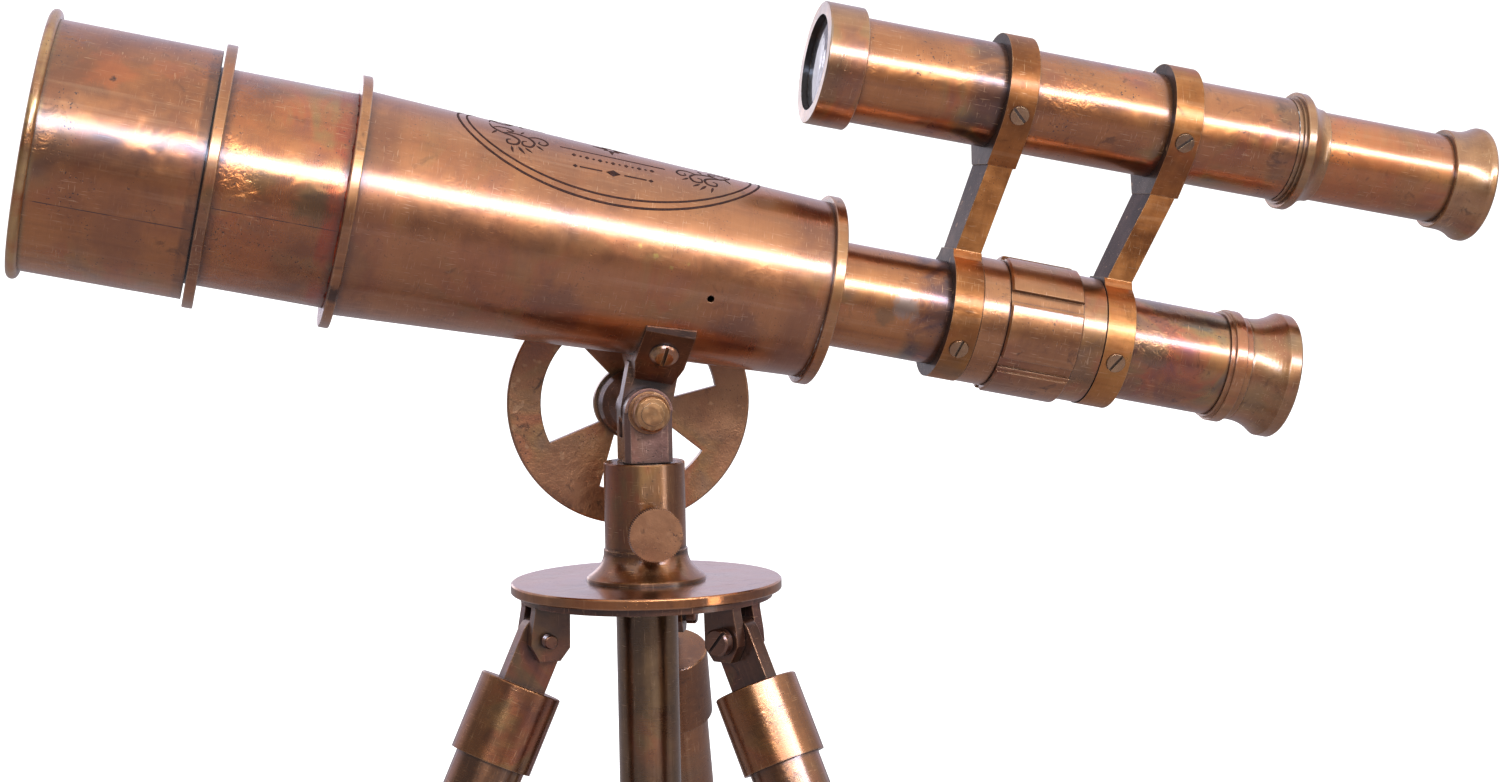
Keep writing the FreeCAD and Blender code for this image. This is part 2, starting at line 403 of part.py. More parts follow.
# ------------------------------------------------------------ legs
for nm, az in zip(LEG_NAME, LEG_AZ):
    a, b = radians(az), radians(LEG_BETA)
    H = V(HINGE_R * cos(a), HINGE_R * sin(a), HINGE_Z)
    # leg frame: local -Z runs down the leg, local Y is the hinge axis
    LEG = Placement(H, Rotation(Z, az).multiply(Rotation(Y, -LEG_BETA)))
    tongue = Part.makeBox(16.4, TONG, 24.0, V(-8.2, -TONG / 2, -24.0)).fuse(rod(V(0, -TONG / 2, 0), Y, 8.2, TONG)).removeSplitter()
    tongue = tongue.cut(rod(V(0, -20, 0), Y, 2.56, 40))
    # the top outer corner is bevelled so that the leg can swing under the crown
    nodes["leg_tongue_" + nm] = place(tongue, LEG)
    slotb = Part.makeBox(16.5, TONG + 0.1, 8.0, V(-8.25, -TONG / 2 - 0.05, -24.05))
    fer = turned_z([(0, -FERRULE_0), (FERRULE_R - 0.4, -FERRULE_0), (FERRULE_R, -FERRULE_0 - 0.4), (FERRULE_R, -FERRULE_1), (LEG_R + 0.05, -FERRULE_1),
                    (LEG_R + 0.05, -24.1), (0, -24.1)])
    nodes["leg_ferrule_" + nm] = place(fer.cut(slotb), LEG)
    t_end = 330.0
    tube = turned_z([(LEG_R, -24.2), (LEG_R, -t_end), (LOWER_R + FIT, -t_end), (LOWER_R + FIT, -t_end + 12), (LEG_R - 1.4, -t_end + 12.6), (LEG_R - 1.4, -24.2)])
    nodes["leg_tube_" + nm] = place(tube, LEG)
    # knurled locking ring below the tube's end
    pts = []
    for i in range(36):
        t = 2 * pi * i / 36
        pts.append(V(15.2 * cos(t), 15.2 * sin(t), 0))
        t = 2 * pi * (i + 0.5) / 36
        pts.append(V(14.7 * cos(t), 14.7 * sin(t), 0))
    lock = prism([p + V(0, 0, -t_end - 8.6) for p in pts], V(0, 0, 17.4))
    lock = lock.cut(rod(V(0, 0, -t_end - 0.05), Z, LEG_R + 0.06, 20)).cut(rod(V(0, 0, -t_end - 20), Z, LOWER_R + 0.06, 40))
    nodes["leg_lock_ring_" + nm] = place(lock, LEG)
    # lower leg: tube with a turned foot; the foot's point is a small flat that sits on the floor
    low = turned_z([(8.2, -396), (8.2, -24.8), (LOWER_R, -24.8), (LOWER_R, -400), (12.2, -401), (12.2, -405), (9.8, -408.5), (8.2, -412), (9.0, -416), (10.6, -420),
                    (10.8, -424), (9.4, -428), (6.6, -431), (0, -432.5), (0, -396)])
    low = place(low, LEG)
    floor_z = H.z - LEG_LEN * cos(b)
    low = low.cut(Part.makeBox(600, 600, 60, V(-300, -300, floor_z - 60)))
    nodes["leg_lower_" + nm] = low
FLOOR = HINGE_Z - LEG_LEN * cos(radians(LEG_BETA))

# ------------------------------------------------------------ write
box = None
for name, shape in nodes.items():
    s = shape.copy()
    s.translate(V(COLUMN_X, COLUMN_Y, -FLOOR))
    assert s.isValid(), name
    for sol in s.Solids:
        assert sol.Volume > 0.5, name
    s.exportStep("parts/%s.step" % name)
    bb = s.BoundBox
    box = bb if box is None else box.united(bb)
print(len(nodes), "nodes")
print("box", [round(v, 3) for v in (box.XMin, box.YMin, box.ZMin, box.XMax, box.YMax, box.ZMax)])
print("centre", round((box.XMin + box.XMax) / 2, 3), round((box.YMin + box.YMax) / 2, 3), "plate height", round(-FLOOR, 3))
print("pivot", round(PIVOT.x + COLUMN_X, 3), round(COLUMN_Y, 3), round(PIVOT.z - FLOOR, 3), "saddle s", round(SADDLE_S, 3), "t", round(PIVOT_T, 3))
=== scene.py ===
import bpy, bmesh, math, random
from mathutils import Vector, Matrix, Euler, noise


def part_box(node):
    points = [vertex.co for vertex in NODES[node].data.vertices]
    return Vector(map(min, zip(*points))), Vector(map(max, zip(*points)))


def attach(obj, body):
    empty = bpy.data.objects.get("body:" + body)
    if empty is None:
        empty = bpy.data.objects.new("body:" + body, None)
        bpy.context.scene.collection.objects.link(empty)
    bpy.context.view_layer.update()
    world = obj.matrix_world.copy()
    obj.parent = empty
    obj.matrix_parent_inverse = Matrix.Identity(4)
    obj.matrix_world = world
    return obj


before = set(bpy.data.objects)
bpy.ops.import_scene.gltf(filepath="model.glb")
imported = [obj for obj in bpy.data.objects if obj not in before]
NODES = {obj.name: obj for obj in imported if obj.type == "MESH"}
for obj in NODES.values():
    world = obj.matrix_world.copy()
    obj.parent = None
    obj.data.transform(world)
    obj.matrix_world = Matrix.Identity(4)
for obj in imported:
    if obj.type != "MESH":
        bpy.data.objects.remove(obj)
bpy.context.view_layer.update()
scene = bpy.context.scene
rad = math.radians
MM = 0.001

# ------------------------------------------------------------------ axes of the CAD
plate_lo, plate_hi = (Vector(v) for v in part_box("tripod_plate"))
COL = Vector(((plate_lo.x + plate_hi.x) / 2, (plate_lo.y + plate_hi.y) / 2, plate_hi.z))      # tripod column, top of the plate
TILT, FTILT = rad(11.76), rad(10.83)
MAIN_O = COL + Vector((0, 0, 0.11573))
FIND_O = COL + Vector((0, 0, 0.19672))
PIVOT = COL + Vector((0.0004, 0, 0.061))
LEGS = {"front_right": -48.0, "rear": 72.0, "front_left": 192.0}


def main_r(s):
    """Outer radius of the main tube's body at s, in metres."""
    return (39.6 + (32.0 - 39.6) * (s / MM + 104.0) / 167.5) * MM


def on_main(s, phi, r):
    """A point about the main axis: s along it, phi up from the side that faces -Y."""
    t, y = r * math.sin(phi), -r * math.cos(phi)
    return MAIN_O + Vector((s * math.cos(TILT) + t * math.sin(TILT), y, -s * math.sin(TILT) + t * math.cos(TILT)))


def on_find(s, phi, r):
    t, y = r * math.sin(phi), -r * math.cos(phi)
    return FIND_O + Vector((s * math.cos(FTILT) + t * math.sin(FTILT), y, -s * math.sin(FTILT) + t * math.cos(FTILT)))


# ------------------------------------------------------------------ shader helpers
class Mat:
    """A node material with short ways to add nodes."""

    def __init__(self, name):
        self.m = bpy.data.materials.new(name)
        self.m.use_nodes = True
        self.t = self.m.node_tree
        self.t.nodes.clear()
        self.out = self.node("ShaderNodeOutputMaterial")

    def node(self, kind, inputs=None, **props):
        n = self.t.nodes.new(kind)
        for k, v in props.items():
            setattr(n, k, v)
        for k, v in (inputs or {}).items():
            if isinstance(v, bpy.types.NodeSocket):
                self.t.links.new(v, n.inputs[k])
            else:
                n.inputs[k].default_value = v
        return n

    def math(self, op, a, b=0.0, c=0.0, clamp=False):
        return self.node("ShaderNodeMath", {0: a, 1: b, 2: c}, operation=op, use_clamp=clamp).outputs[0]

    def vmath(self, op, a, b=(0, 0, 0)):
        n = self.node("ShaderNodeVectorMath", {0: a, 1: b}, operation=op)
        return n.outputs["Value"] if op in ("DOT_PRODUCT", "LENGTH") else n.outputs["Vector"]

    def rng(self, v, a, b, lo=0.0, hi=1.0, smooth=True):
        return self.node("ShaderNodeMapRange", {0: v, 1: a, 2: b, 3: lo, 4: hi},
                         interpolation_type="SMOOTHSTEP" if smooth else "LINEAR").outputs[0]

    def mix(self, f, a, b, blend="MIX"):
        n = self.node("ShaderNodeMix", {0: f, 6: a, 7: b}, data_type="RGBA", blend_type=blend)
        return n.outputs[2]

    def noise(self, v, scale, detail=3.0, rough=0.5, distort=0.0):
        return self.node("ShaderNodeTexNoise", {"Vector": v, "Scale": scale, "Detail": detail, "Roughness": rough,
                                                "Distortion": distort}).outputs["Fac"]

    def ramp(self, v, stops):
        n = self.node("ShaderNodeValToRGB", {0: v})
        e = n.color_ramp.elements
        while len(e) > 1:
            e.remove(e[-1])
        e[0].position, e[0].color = stops[0][0], (*stops[0][1], 1)
        for p, c in stops[1:]:
            x = e.new(p)
            x.color = (*c, 1)
        return n.outputs[0]


def srgb(r, g, b):
    f = lambda v: (v / 255) / 12.92 if v / 255 <= 0.04045 else (((v / 255) + 0.055) / 1.055) ** 2.4
    return (f(r), f(g), f(b))


def c4(c):
    return (*c, 1.0)


F_MAIN = dict(loc=MAIN_O, rot=(0, TILT, 0), axis="x")
F_FIND = dict(loc=FIND_O, rot=(0, FTILT, 0), axis="x")
F_COL = dict(loc=COL, rot=(0, 0, 0), axis="z")
F_BOLT = dict(loc=PIVOT, rot=(0, 0, rad(90)), axis="x")
F_LEG = {}
for nm, az in LEGS.items():
    H = COL + Vector((0.0405 * math.cos(rad(az)), 0.0405 * math.sin(rad(az)), -0.018))
    F_LEG[nm] = dict(loc=H, rot=(0, rad(-25.0), rad(az)), axis="z")

# palettes: low, middle and high patina, and a pale tone for rubbed edges and scratches that also serves as a painted
# edge highlight
P_TUBE = dict(lo=srgb(148, 90, 50), mid=srgb(184, 118, 62), hi=srgb(208, 140, 76), edge=srgb(230, 184, 138))
P_BODY = dict(lo=srgb(158, 100, 58), mid=srgb(186, 122, 70), hi=srgb(204, 140, 84), edge=srgb(230, 186, 146))
P_RING = dict(lo=srgb(142, 90, 50), mid=srgb(184, 124, 70), hi=srgb(208, 148, 88), edge=srgb(240, 200, 156))
P_YELL = dict(lo=srgb(138, 94, 58), mid=srgb(180, 130, 82), hi=srgb(204, 154, 102), edge=srgb(234, 198, 148))
P_DARK = dict(lo=srgb(92, 60, 44), mid=srgb(128, 86, 62), hi=srgb(158, 110, 80), edge=srgb(204, 156, 120))
P_PINK = dict(lo=srgb(130, 94, 80), mid=srgb(164, 122, 104), hi=srgb(188, 146, 124), edge=srgb(214, 174, 150))
P_WHEEL = dict(lo=srgb(126, 86, 58), mid=srgb(164, 114, 76), hi=srgb(188, 138, 96), edge=srgb(208, 164, 122))
P_OXIDE = dict(lo=srgb(56, 34, 24), mid=srgb(94, 60, 42), hi=srgb(126, 84, 58), edge=srgb(208, 156, 116))
P_OLIVE = dict(lo=srgb(84, 62, 38), mid=srgb(120, 90, 54), hi=srgb(148, 114, 70), edge=srgb(194, 160, 124))
P_LEG = dict(lo=srgb(112, 70, 38), mid=srgb(148, 96, 52), hi=srgb(176, 118, 66), edge=srgb(226, 178, 130))
P_SCREW = dict(lo=srgb(120, 88, 56), mid=srgb(168, 126, 84), hi=srgb(200, 160, 114), edge=srgb(238, 206, 162))
SEED = [0]


def patina(name, fr, pal, rough=0.27, grain="ring", dents=1.0, pits=0.5, stain=0.5, tarnish=0.35, edge=0.7, crevice_shade=0.9,
           cast=0.0, zones=(), spots=(), shaded_facings=(), bore=None, seam=None, brush=1.0, coat=1.0, aniso=None, bev_r=0.0007):
    """Aged brass: patina clouds, drawn and turned lines, tarnish tints, pits, stains, crevices darkened as painted
    shade that also stands for dark oxide, rubbed edges that also carry a painted highlight, and sides painted darker as
    shade.
    """
    m = Mat(name)
    SEED[0] += 1
    off = Vector((0.731 * SEED[0], 0.377 * SEED[0], 0.193 * SEED[0]))
    tc = m.node("ShaderNodeTexCoord").outputs["Object"]
    p = m.node("ShaderNodeMapping", {"Vector": tc, "Location": fr["loc"], "Rotation": fr["rot"]}, vector_type="TEXTURE").outputs[0]
    xyz = m.node("ShaderNodeSeparateXYZ", {0: p}).outputs
    along = xyz[0] if fr["axis"] == "x" else xyz[2]
    ca, cb = (xyz[1], xyz[2]) if fr["axis"] == "x" else (xyz[0], xyz[1])
    radius = m.math("SQRT", m.math("ADD", m.math("MULTIPLY", ca, ca), m.math("MULTIPLY", cb, cb)))
    q = m.vmath("ADD", p, tuple(off))

    def lines(a, r):
        sc = (a, r, r) if fr["axis"] == "x" else (r, r, a)
        return m.vmath("MULTIPLY", q, sc)

    big = m.noise(q, 17.0, 4.0, 0.55, 0.5)
    fine = m.noise(q, 75.0, 5.0, 0.62, 0.2)
    blot = m.math("ADD", m.math("MULTIPLY", big, 0.62), m.math("MULTIPLY", fine, 0.38))
    col = m.ramp(blot, [(0.36, pal["lo"]), (0.49, pal["mid"]), (0.64, pal["hi"])])
    # tarnish: olive, violet and grey tints in soft clouds
    tn = m.noise(q, 31.0, 3.0, 0.5, 1.6)
    tint = m.ramp(tn, [(0.34, srgb(150, 84, 78)), (0.45, srgb(196, 112, 66)), (0.54, srgb(176, 140, 82)), (0.64, srgb(126, 118, 96))])
    tmask = m.math("MULTIPLY", m.rng(m.noise(q, 22.0, 2.0, 0.5, 0.6), 0.44, 0.66), tarnish)
    col = m.mix(tmask, col, tint)
    # lines drawn along the tube
    if grain in ("ring", "both", "along"):
        dr = m.noise(lines(9.0, 260.0), 1.0, 3.0, 0.6)
        col = m.mix(m.rng(dr, 0.52, 0.74, 0.0, 0.30), col, c4(pal["lo"]))
        col = m.mix(m.rng(dr, 0.46, 0.28, 0.0, 0.16), col, c4(pal["edge"]))
    # turned lines round it
    turn = m.noise(lines(2400.0, 24.0), 1.0, 3.0, 0.65)
    if grain != "none":
        col = m.mix(m.math("MULTIPLY", m.rng(turn, 0.35, 0.68, 0.0, 0.05), brush), col, c4([x * 0.55 for x in pal["lo"]]))
    # stains
    st = m.noise(q, 150.0, 6.0, 0.62, 0.8)
    sm = m.math("MULTIPLY", m.rng(st, 0.56, 0.70), m.math("MULTIPLY", m.rng(m.noise(q, 27.0, 2.0), 0.42, 0.62), stain))
    col = m.mix(sm, col, c4([x * 0.38 for x in pal["lo"]]))
    # coloured zones along the axis: (from, to, colour, strength)
    for (s0, s1, zc, zs) in zones:
        w = (s1 - s0) * 0.35
        z = m.math("MULTIPLY", m.rng(along, s0 - w, s0 + w * 0.4), m.rng(along, s1 + w, s1 - w * 0.4))
        z = m.math("MULTIPLY", z, m.math("MULTIPLY", m.rng(m.noise(q, 60.0, 4.0, 0.6, 0.8), 0.30, 0.62), zs))
        col = m.mix(z, col, c4(zc))
    # single marks about the axis: (along, phi, distance from the axis, radius, colour, strength)
    for (sa, phi, ra, rr, sc, ss) in spots:
        here = (sa, -ra * math.cos(phi), ra * math.sin(phi))
        d = m.vmath("LENGTH", m.vmath("SUBTRACT", p, here))
        d = m.math("ADD", d, m.math("MULTIPLY", m.math("SUBTRACT", m.noise(q, 0.9 / rr, 4.0, 0.62, 0.6), 0.5), rr * 2.2))
        col = m.mix(m.rng(d, rr * 1.25, rr * 0.45, 0.0, ss), col, c4(sc))
    # faces turned one way get painted shade, a darker colour chosen by the way they face: (normal, colour, strength)
    side = None
    for (fn, shade_col, fs) in shaded_facings:
        fd = m.vmath("DOT_PRODUCT", m.node("ShaderNodeTexCoord").outputs["Normal"], tuple(Vector(fn).normalized()))
        facing_shade = m.math("MULTIPLY", m.rng(fd, 0.72, 0.93), m.rng(fine, 0.30, 0.60, fs * 0.85, fs))
        col = m.mix(facing_shade, col, c4(shade_col))
        side = facing_shade if side is None else m.math("MAXIMUM", side, facing_shade)
    # edges rubbed bright, which is also a painted edge highlight, and crevices darkened as painted shade that also
    # stands for dark oxide
    bev = m.node("ShaderNodeBevel", {"Radius": bev_r}, samples=4).outputs[0]
    geo = m.node("ShaderNodeNewGeometry").outputs
    ndot = m.vmath("DOT_PRODUCT", bev, geo["Normal"])
    # rubbed edges: real wear, and also a painted edge highlight, a pale tone laid along every rim that the bevel normal
    # finds
    edge_rub_and_glint = m.rng(m.math("SUBTRACT", 1.0, ndot), 0.015, 0.16)
    # painted shade: an occlusion mask darkens corners, recesses and gaps between parts with a near-black tone, which
    # also stands for dark oxide in the hollows
    ao = m.node("ShaderNodeAmbientOcclusion", {"Distance": 0.0055}, samples=6).outputs["AO"]
    occl_shade = m.rng(ao, 0.86, 0.34)
    edge_rub_and_glint = m.math("MULTIPLY", m.math("MULTIPLY", edge_rub_and_glint, m.math("SUBTRACT", 1.0, occl_shade)),
                m.math("MULTIPLY", m.rng(fine, 0.30, 0.55, 0.45, 1.0), edge))
    col = m.mix(edge_rub_and_glint, col, c4(pal["edge"]))
    crevice_shade_mask = m.math("MULTIPLY", occl_shade, m.math("MULTIPLY", m.rng(st, 0.25, 0.55, 0.7, 1.0), crevice_shade))
    col = m.mix(crevice_shade_mask, col, c4(srgb(38, 24, 20)))
    # hair scratches and rubs, along and across
    s1 = m.rng(m.noise(lines(170.0, 2600.0), 1.0, 1.0, 0.5), 0.665, 0.74)
    s2 = m.rng(m.noise(lines(2400.0, 230.0), 1.0, 1.0, 0.5), 0.675, 0.75)
    scr = m.math("MULTIPLY", m.math("MAXIMUM", s1, s2), m.rng(m.noise(q, 40.0, 2.0), 0.38, 0.60, 0.1, 0.55))
    col = m.mix(scr, col, c4(pal["edge"]))
    # small dark pits
    pn = m.noise(q, 1150.0, 1.0, 0.5)
    pm = m.math("MULTIPLY", m.rng(pn, 0.665, 0.72), m.math("MULTIPLY", m.rng(m.noise(q, 48.0, 3.0, 0.6), 0.50, 0.62), pits), clamp=True)
    col = m.mix(pm, col, c4(srgb(52, 30, 22)))
    mask_dull = m.math("MAXIMUM", crevice_shade_mask, m.math("MULTIPLY", pm, 0.8))
    # hairline seam of a rolled tube: (phi, from, to)
    if seam:
        phi, s0, s1 = seam
        ang = m.math("ARCTAN2", cb, m.math("MULTIPLY", ca, -1.0))
        d = m.math("ABSOLUTE", m.math("SUBTRACT", ang, m.math("ADD", phi, m.math("MULTIPLY", m.math("SUBTRACT", m.noise(lines(60.0, 60.0), 1.0), 0.5), 0.004))))
        sl = m.math("MULTIPLY", m.rng(d, 0.0052, 0.0018), m.math("MULTIPLY", m.rng(along, s0, s0 + 0.003), m.rng(along, s1, s1 - 0.003)))
        sl = m.math("MULTIPLY", sl, m.rng(m.noise(lines(120.0, 5.0), 1.0), 0.30, 0.55, 0.35, 1.0))
        col = m.mix(sl, col, c4(srgb(60, 34, 26)))
        mask_dull = m.math("MAXIMUM", mask_dull, m.math("MULTIPLY", sl, 0.7))
    # roughness
    r = m.math("ADD", rough + 0.06, m.rng(fine, 0.3, 0.7, -0.05, 0.07))
    r = m.math("ADD", r, m.rng(turn, 0.3, 0.7, -0.025 * brush, 0.035 * brush))
    r = m.math("ADD", r, m.math("MULTIPLY", sm, 0.14))
    r = m.math("ADD", r, m.math("MULTIPLY", edge_rub_and_glint, -0.06))
    r = m.math("ADD", r, m.math("MULTIPLY", scr, -0.08))
    r = m.math("ADD", r, m.math("MULTIPLY", mask_dull, 0.35), clamp=True)
    metal = m.rng(mask_dull, 0.0, 1.0, 1.0, 0.35, smooth=False)
    # the sides with painted shade are also made less metallic and rougher
    if side is not None:
        metal = m.math("MULTIPLY", metal, m.math("SUBTRACT", 1.0, m.math("MULTIPLY", side, 0.75)))
        r = m.math("MAXIMUM", r, m.math("MULTIPLY", side, 0.6))
    if bore:                                     # painted dull black inside
        bm = m.rng(radius, bore[0], bore[1], 1.0, 0.0)
        if len(bore) > 3:
            bm = m.math("MULTIPLY", bm, m.math("MULTIPLY", m.rng(along, bore[2], bore[2] + 0.0004), m.rng(along, bore[3] + 0.0004, bore[3])))
        col = m.mix(bm, col, m.mix(m.rng(fine, 0.35, 0.65), c4(srgb(30, 24, 22)), c4(srgb(52, 40, 34))))
        metal = m.math("MULTIPLY", metal, m.math("SUBTRACT", 1.0, m.math("MULTIPLY", bm, 0.85)))
        r = m.math("MAXIMUM", r, m.math("MULTIPLY", bm, 0.62))
    # relief: gentle dents, brushing, casting skin
    nrm = bev
    if dents > 0:
        dn = m.math("MULTIPLY", m.noise(q, 62.0, 2.0, 0.5, 0.4), m.rng(m.noise(q, 19.0, 1.0), 0.40, 0.66, 0.18, 1.0))
        nrm = m.node("ShaderNodeBump", {"Strength": 1.0, "Distance": 0.00062 * dents, "Height": dn, "Normal": nrm}).outputs[0]
        dn2 = m.math("MULTIPLY", m.noise(q, 330.0, 3.0, 0.6, 0.6), m.rng(m.noise(q, 33.0, 2.0), 0.50, 0.66, 0.0, 1.0))
        nrm = m.node("ShaderNodeBump", {"Strength": 1.0, "Distance": 0.00022 * dents, "Height": dn2, "Normal": nrm}).outputs[0]
    if cast > 0:
        cn = m.math("ADD", m.noise(q, 420.0, 4.0, 0.65), m.math("MULTIPLY", m.noise(q, 1400.0, 2.0), 0.4))
        nrm = m.node("ShaderNodeBump", {"Strength": 1.0, "Distance": 0.00030 * cast, "Height": cn, "Normal": nrm}).outputs[0]
    if grain != "none":
        nrm = m.node("ShaderNodeBump", {"Strength": 1.0, "Distance": 0.0000012 * brush, "Height": turn, "Normal": nrm}).outputs[0]
    nrm = m.node("ShaderNodeBump", {"Strength": 0.8, "Distance": 0.00008, "Height": m.math("MULTIPLY", pm, -1.0), "Normal": nrm}).outputs[0]
    b = m.node("ShaderNodeBsdfPrincipled", {"Base Color": col, "Roughness": r, "Metallic": metal, "Normal": nrm,
                                               "Coat Weight": coat, "Coat Roughness": 0.22, "Coat IOR": 1.8})
    if aniso is None:
        aniso = 0.6 if grain in ("ring", "both") else 0.0
    if aniso:                                     # fine turning spreads the shine along the axis
        d = Euler(fr["rot"]).to_matrix() @ Vector((1, 0, 0) if fr["axis"] == "x" else (0, 0, 1))
        cv_ = m.node("ShaderNodeCombineXYZ", {0: d.x, 1: d.y, 2: d.z}).outputs[0]
        tv = m.node("ShaderNodeVectorTransform", {0: cv_}, vector_type="VECTOR", convert_from="OBJECT", convert_to="WORLD").outputs[0]
        b.inputs["Anisotropic"].default_value = aniso
        m.t.links.new(tv, b.inputs["Tangent"])
    m.t.links.new(b.outputs[0], m.out.inputs[0])
    return m.m


def engraving(name, dark=srgb(58, 34, 26), light=srgb(96, 58, 42)):
    """Dark filler in engraved lines."""
    m = Mat(name)
    tc = m.node("ShaderNodeTexCoord").outputs["Object"]
    n = m.noise(tc, 900.0, 4.0, 0.65)
    col = m.mix(m.rng(n, 0.38, 0.66), c4(dark), c4(light))
    nb = m.node("ShaderNodeBump", {"Strength": 0.7, "Distance": 0.00005, "Height": n}).outputs[0]
    b = m.node("ShaderNodeBsdfPrincipled", {"Base Color": col, "Roughness": m.rng(n, 0.3, 0.7, 0.42, 0.66), "Metallic": 0.45, "Normal": nb})
    m.t.links.new(b.outputs[0], m.out.inputs[0])
    return m.m


def solder_mat(name):
    m = Mat(name)
    tc = m.node("ShaderNodeTexCoord").outputs["Object"]
    n = m.noise(tc, 420.0, 5.0, 0.65, 0.5)
    col = m.ramp(n, [(0.34, srgb(70, 48, 40)), (0.46, srgb(150, 130, 118)), (0.60, srgb(214, 208, 200))])
    nb = m.node("ShaderNodeBump", {"Strength": 0.9, "Distance": 0.00012, "Height": n}).outputs[0]
    b = m.node("ShaderNodeBsdfPrincipled", {"Base Color": col, "Roughness": m.rng(n, 0.3, 0.7, 0.5, 0.24), "Metallic": 0.9, "Normal": nb})
    m.t.links.new(b.outputs[0], m.out.inputs[0])
    return m.m


def flux_mat(name):
    """Red-brown flux and scale left at a soldered joint."""
    m = Mat(name)
    tc = m.node("ShaderNodeTexCoord").outputs["Object"]
    n = m.noise(tc, 300.0, 5.0, 0.65, 0.6)
    col = m.ramp(n, [(0.36, srgb(64, 22, 12)), (0.50, srgb(138, 52, 22)), (0.64, srgb(186, 84, 34))])
    nb = m.node("ShaderNodeBump", {"Strength": 0.9, "Distance": 0.00010, "Height": n}).outputs[0]
    b = m.node("ShaderNodeBsdfPrincipled", {"Base Color": col, "Roughness": m.rng(n, 0.3, 0.7, 0.62, 0.36), "Metallic": 0.35, "Normal": nb})
    m.t.links.new(b.outputs[0], m.out.inputs[0])
    return m.m


def glass(name, tint=(0.93, 0.96, 0.97), dust=0.10):
    m = Mat(name)
    tc = m.node("ShaderNodeTexCoord").outputs["Object"]
    n = m.noise(tc, 240.0, 5.0, 0.6, 0.4)
    r = m.rng(n, 0.45, 0.75, 0.02, 0.02 + dust)
    col = m.mix(m.rng(n, 0.50, 0.78, 0.0, 0.5), c4(tint), c4([x * 0.86 for x in tint]))
    b = m.node("ShaderNodeBsdfPrincipled", {"Base Color": col, "Roughness": r, "IOR": 1.52, "Transmission Weight": 0.92})
    m.t.links.new(b.outputs[0], m.out.inputs[0])
    return m.m


# ------------------------------------------------------------------ stage, light and camera
def stage():
    bm = bmesh.new()
    rings = [0.0, 0.4, 0.8, 1.6, 3.2, 6.4, 14.0]
    prev = None
    for r in rings:
        if r == 0:
            prev = [bm.verts.new((0, 0, 0))]
            continue
        cur = [bm.verts.new((r * math.cos(2 * math.pi * i / 48), r * math.sin(2 * math.pi * i / 48), 0)) for i in range(48)]
        for i in range(48):
            j = (i + 1) % 48
            if len(prev) == 1:
                bm.faces.new((prev[0], cur[i], cur[j]))
            else:
                bm.faces.new((prev[i], cur[i], cur[j], prev[j]))
        prev = cur
    me = bpy.data.meshes.new("floor")
    bm.to_mesh(me)
    bm.free()
    o = bpy.data.objects.new("floor", me)
    scene.collection.objects.link(o)
    m = Mat("floor_pale")
    lp = m.node("ShaderNodeLightPath").outputs["Is Camera Ray"]
    tc = m.node("ShaderNodeTexCoord").outputs["Object"]
    n = m.noise(tc, 3.0, 3.0)
    pale = m.mix(n, c4((0.90, 0.90, 0.91)), c4((0.94, 0.94, 0.95)))
    grey = m.mix(n, c4((0.35, 0.325, 0.325)), c4((0.38, 0.35, 0.35)))
    b = m.node("ShaderNodeBsdfDiffuse", {"Color": m.mix(lp, grey, pale)})
    glow = m.node("ShaderNodeEmission", {"Color": (1.0, 1.0, 1.0, 1), "Strength": 1.35})
    both = m.node("ShaderNodeMixShader", {0: m.math("MULTIPLY", lp, m.rng(m.vmath("LENGTH", tc), 0.55, 1.25, 0.28, 0.74)), 1: b.outputs[0], 2: glow.outputs[0]})
    m.t.links.new(both.outputs[0], m.out.inputs[0])
    me.materials.append(m.m)


stage()

world = bpy.data.worlds.new("studio")
scene.world = world
world.use_nodes = True
wt = world.node_tree
wt.nodes.clear()


def wnode(kind, inputs=None, **props):
    n = wt.nodes.new(kind)
    for k, v in props.items():
        setattr(n, k, v)
    for k, v in (inputs or {}).items():
        if isinstance(v, bpy.types.NodeSocket):
            wt.links.new(v, n.inputs[k])
        else:
            n.inputs[k].default_value = v
    return n


wd = wnode("ShaderNodeTexCoord").outputs["Generated"]
wx = wnode("ShaderNodeSeparateXYZ", {0: wd}).outputs
wr = wnode("ShaderNodeValToRGB", {0: wnode("ShaderNodeMapRange", {0: wx[2], 1: -1.0, 2: 1.0, 3: 0.0, 4: 1.0}).outputs[0]})
els = wr.color_ramp.elements
els[0].position, els[0].color = 0.0, (0.36, 0.34, 0.34, 1)
els[1].position, els[1].color = 1.0, (0.76, 0.76, 0.80, 1)
for pos, v in ((0.50, (0.38, 0.36, 0.355)), (0.60, (0.42, 0.40, 0.40)), (0.72, (0.80, 0.79, 0.80)), (0.85, (0.98, 0.98, 1.0))):
    e = els.new(pos)
    e.color = (*v, 1)
back = wnode("ShaderNodeMapRange", {0: wx[1], 1: 0.10, 2: 0.75, 3: 0.0, 4: 1.0}, interpolation_type="SMOOTHSTEP").outputs[0]
wmix = wnode("ShaderNodeMix", {0: back, 6: wr.outputs[0], 7: (0.56, 0.53, 0.64, 1)}, data_type="RGBA").outputs[2]
left = wnode("ShaderNodeMapRange", {0: wx[0], 1: -0.22, 2: -0.62, 3: 0.0, 4: 1.0}, interpolation_type="SMOOTHSTEP").outputs[0]
front = wnode("ShaderNodeMapRange", {0: wx[1], 1: 0.55, 2: 0.15, 3: 0.0, 4: 0.68}, interpolation_type="SMOOTHSTEP").outputs[0]
low = wnode("ShaderNodeMapRange", {0: wx[2], 1: 0.75, 2: 0.45, 3: 0.0, 4: 1.0}, interpolation_type="SMOOTHSTEP").outputs[0]
